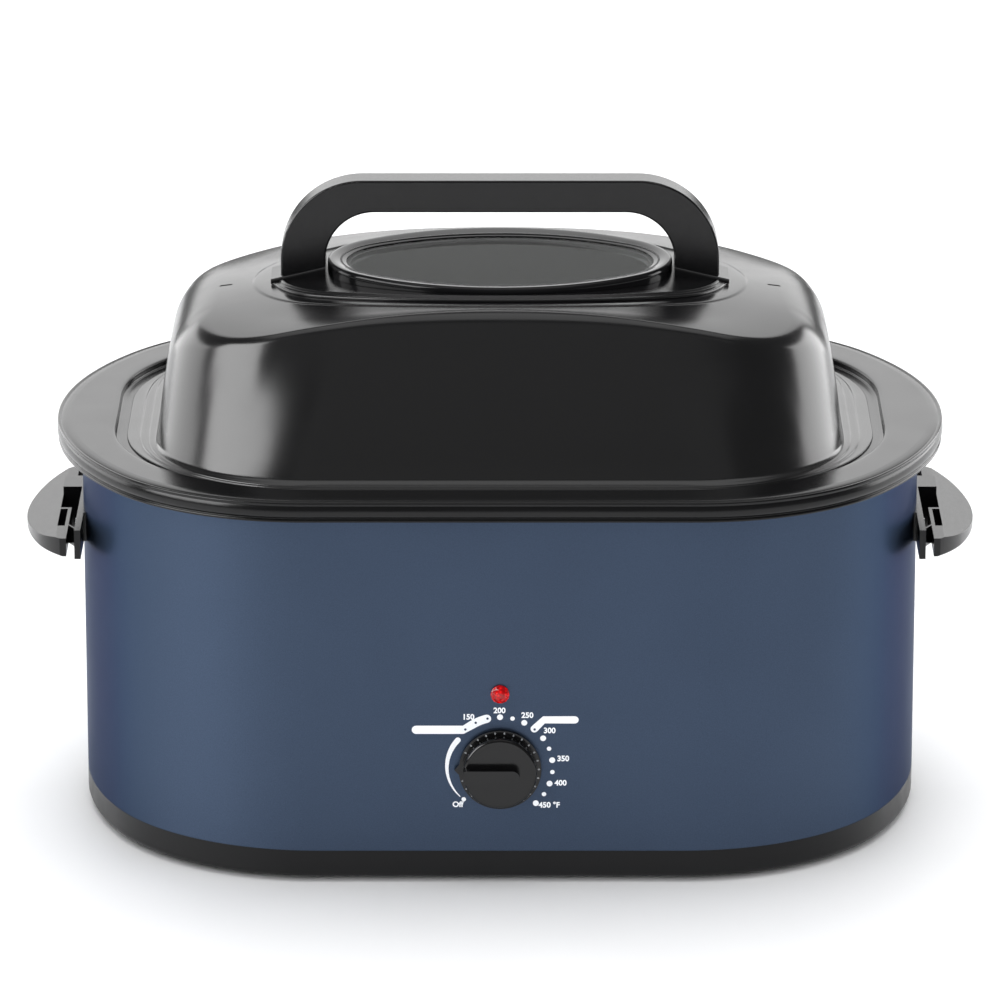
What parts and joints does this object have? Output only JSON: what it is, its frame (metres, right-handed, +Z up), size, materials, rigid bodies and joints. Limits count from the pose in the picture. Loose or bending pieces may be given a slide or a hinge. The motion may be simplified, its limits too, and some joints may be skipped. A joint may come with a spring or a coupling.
{
  "type": "electric roaster oven",
  "caption": "Countertop electric roaster oven with a lift-out pan and rack, a lift-off windowed lid with a top handle, side grips and a turning thermostat knob",
  "frame": {"origin": "centre of the footprint on the surface the feet stand on", "axes": "+X to the right seen from the front, along the oven's length; -Y is the front with the knob; +Z up"},
  "size_m": [0.585, 0.3858, 0.394],
  "materials": {
    "blue_paint": "satin metallic slate-blue paint",
    "black_enamel": "glossy black porcelain enamel on steel",
    "zinc_steel": "zinc-plated steel",
    "heater_steel": "heat-tinted steel band",
    "fibre_blanket": "white ceramic-fibre felt",
    "rack_chrome": "chrome-plated wire",
    "black_plastic": "satin black phenolic",
    "gloss_black_plastic": "glossy black heat-proof plastic",
    "window_glass": "clear tempered glass",
    "seal_silicone": "black silicone",
    "seal_rubber": "black moulded rubber",
    "foot_rubber": "dark grey rubber",
    "shaft_brass": "turned brass",
    "thermostat_ceramic": "cream steatite ceramic",
    "sensor_aluminium": "bare aluminium",
    "lens_red": "clear red faceted plastic",
    "lamp_glass": "neon lamp glass",
    "lead_white": "white silicone-sleeved wire"
  },
  "bodies": {
    "oven_body": {"base_tray": "black_enamel", "bottom_cover": "zinc_steel", "cover_screws": "zinc_steel", "feet": "foot_rubber", "foot_screws": "zinc_steel", "outer_body": "blue_paint", "heating_well": "zinc_steel", "well_screws": "zinc_steel", "heater_band": "heater_steel", "insulation_blanket": "fibre_blanket", "right_handle": "black_plastic", "left_handle": "black_plastic", "right_handle_screws": "zinc_steel", "left_handle_screws": "zinc_steel", "right_backing_plate": "zinc_steel", "left_backing_plate": "zinc_steel", "thermostat": "thermostat_ceramic", "thermostat_bracket": "zinc_steel", "sensor_arm": "sensor_aluminium", "indicator_lens": "lens_red", "indicator_lamp": "lamp_glass", "lamp_clip": "zinc_steel", "cord_gland": "seal_rubber", "gland_nut": "black_plastic", "terminal_block": "thermostat_ceramic", "thermal_fuse": "sensor_aluminium", "thermostat_lead": "lead_white", "fuse_lead": "lead_white", "heater_lead": "lead_white"},
    "pan": {"cooking_pan": "black_enamel"},
    "rack": {"roasting_rack": "rack_chrome", "rack_grips": "rack_chrome"},
    "lid": {"lid_shell": "black_enamel", "handle_plate": "black_plastic", "window_gasket": "seal_silicone", "window_glass": "window_glass", "window_bezel": "gloss_black_plastic", "window_screws": "zinc_steel", "lid_handle": "black_plastic", "lid_handle_screws": "zinc_steel"},
    "dial_knob": {"knob": "black_plastic", "knob_shaft": "shaft_brass"}
  },
  "joints": [
    {"name": "pan_lift", "type": "slide", "parent": "oven_body", "child": "pan", "axis": [0, 0, 1], "range_m": [0, 0.18]},
    {"name": "lid_lift", "type": "slide", "parent": "pan", "child": "lid", "axis": [0, 0, 1], "range_m": [0, 0.3]},
    {"name": "rack_lift", "type": "slide", "parent": "pan", "child": "rack", "axis": [0, 0, 1], "range_m": [0, 0.18]},
    {"name": "knob_turn", "type": "hinge", "parent": "oven_body", "child": "dial_knob", "pos_m": [0, -0.17, 0.0732], "axis": [0, 1, 0], "range_deg": [-48, 227]}
  ],
  "couplings": [
    {"joint": "rack_lift", "follows": "lid_lift", "ratio": 0.6}
  ]
}
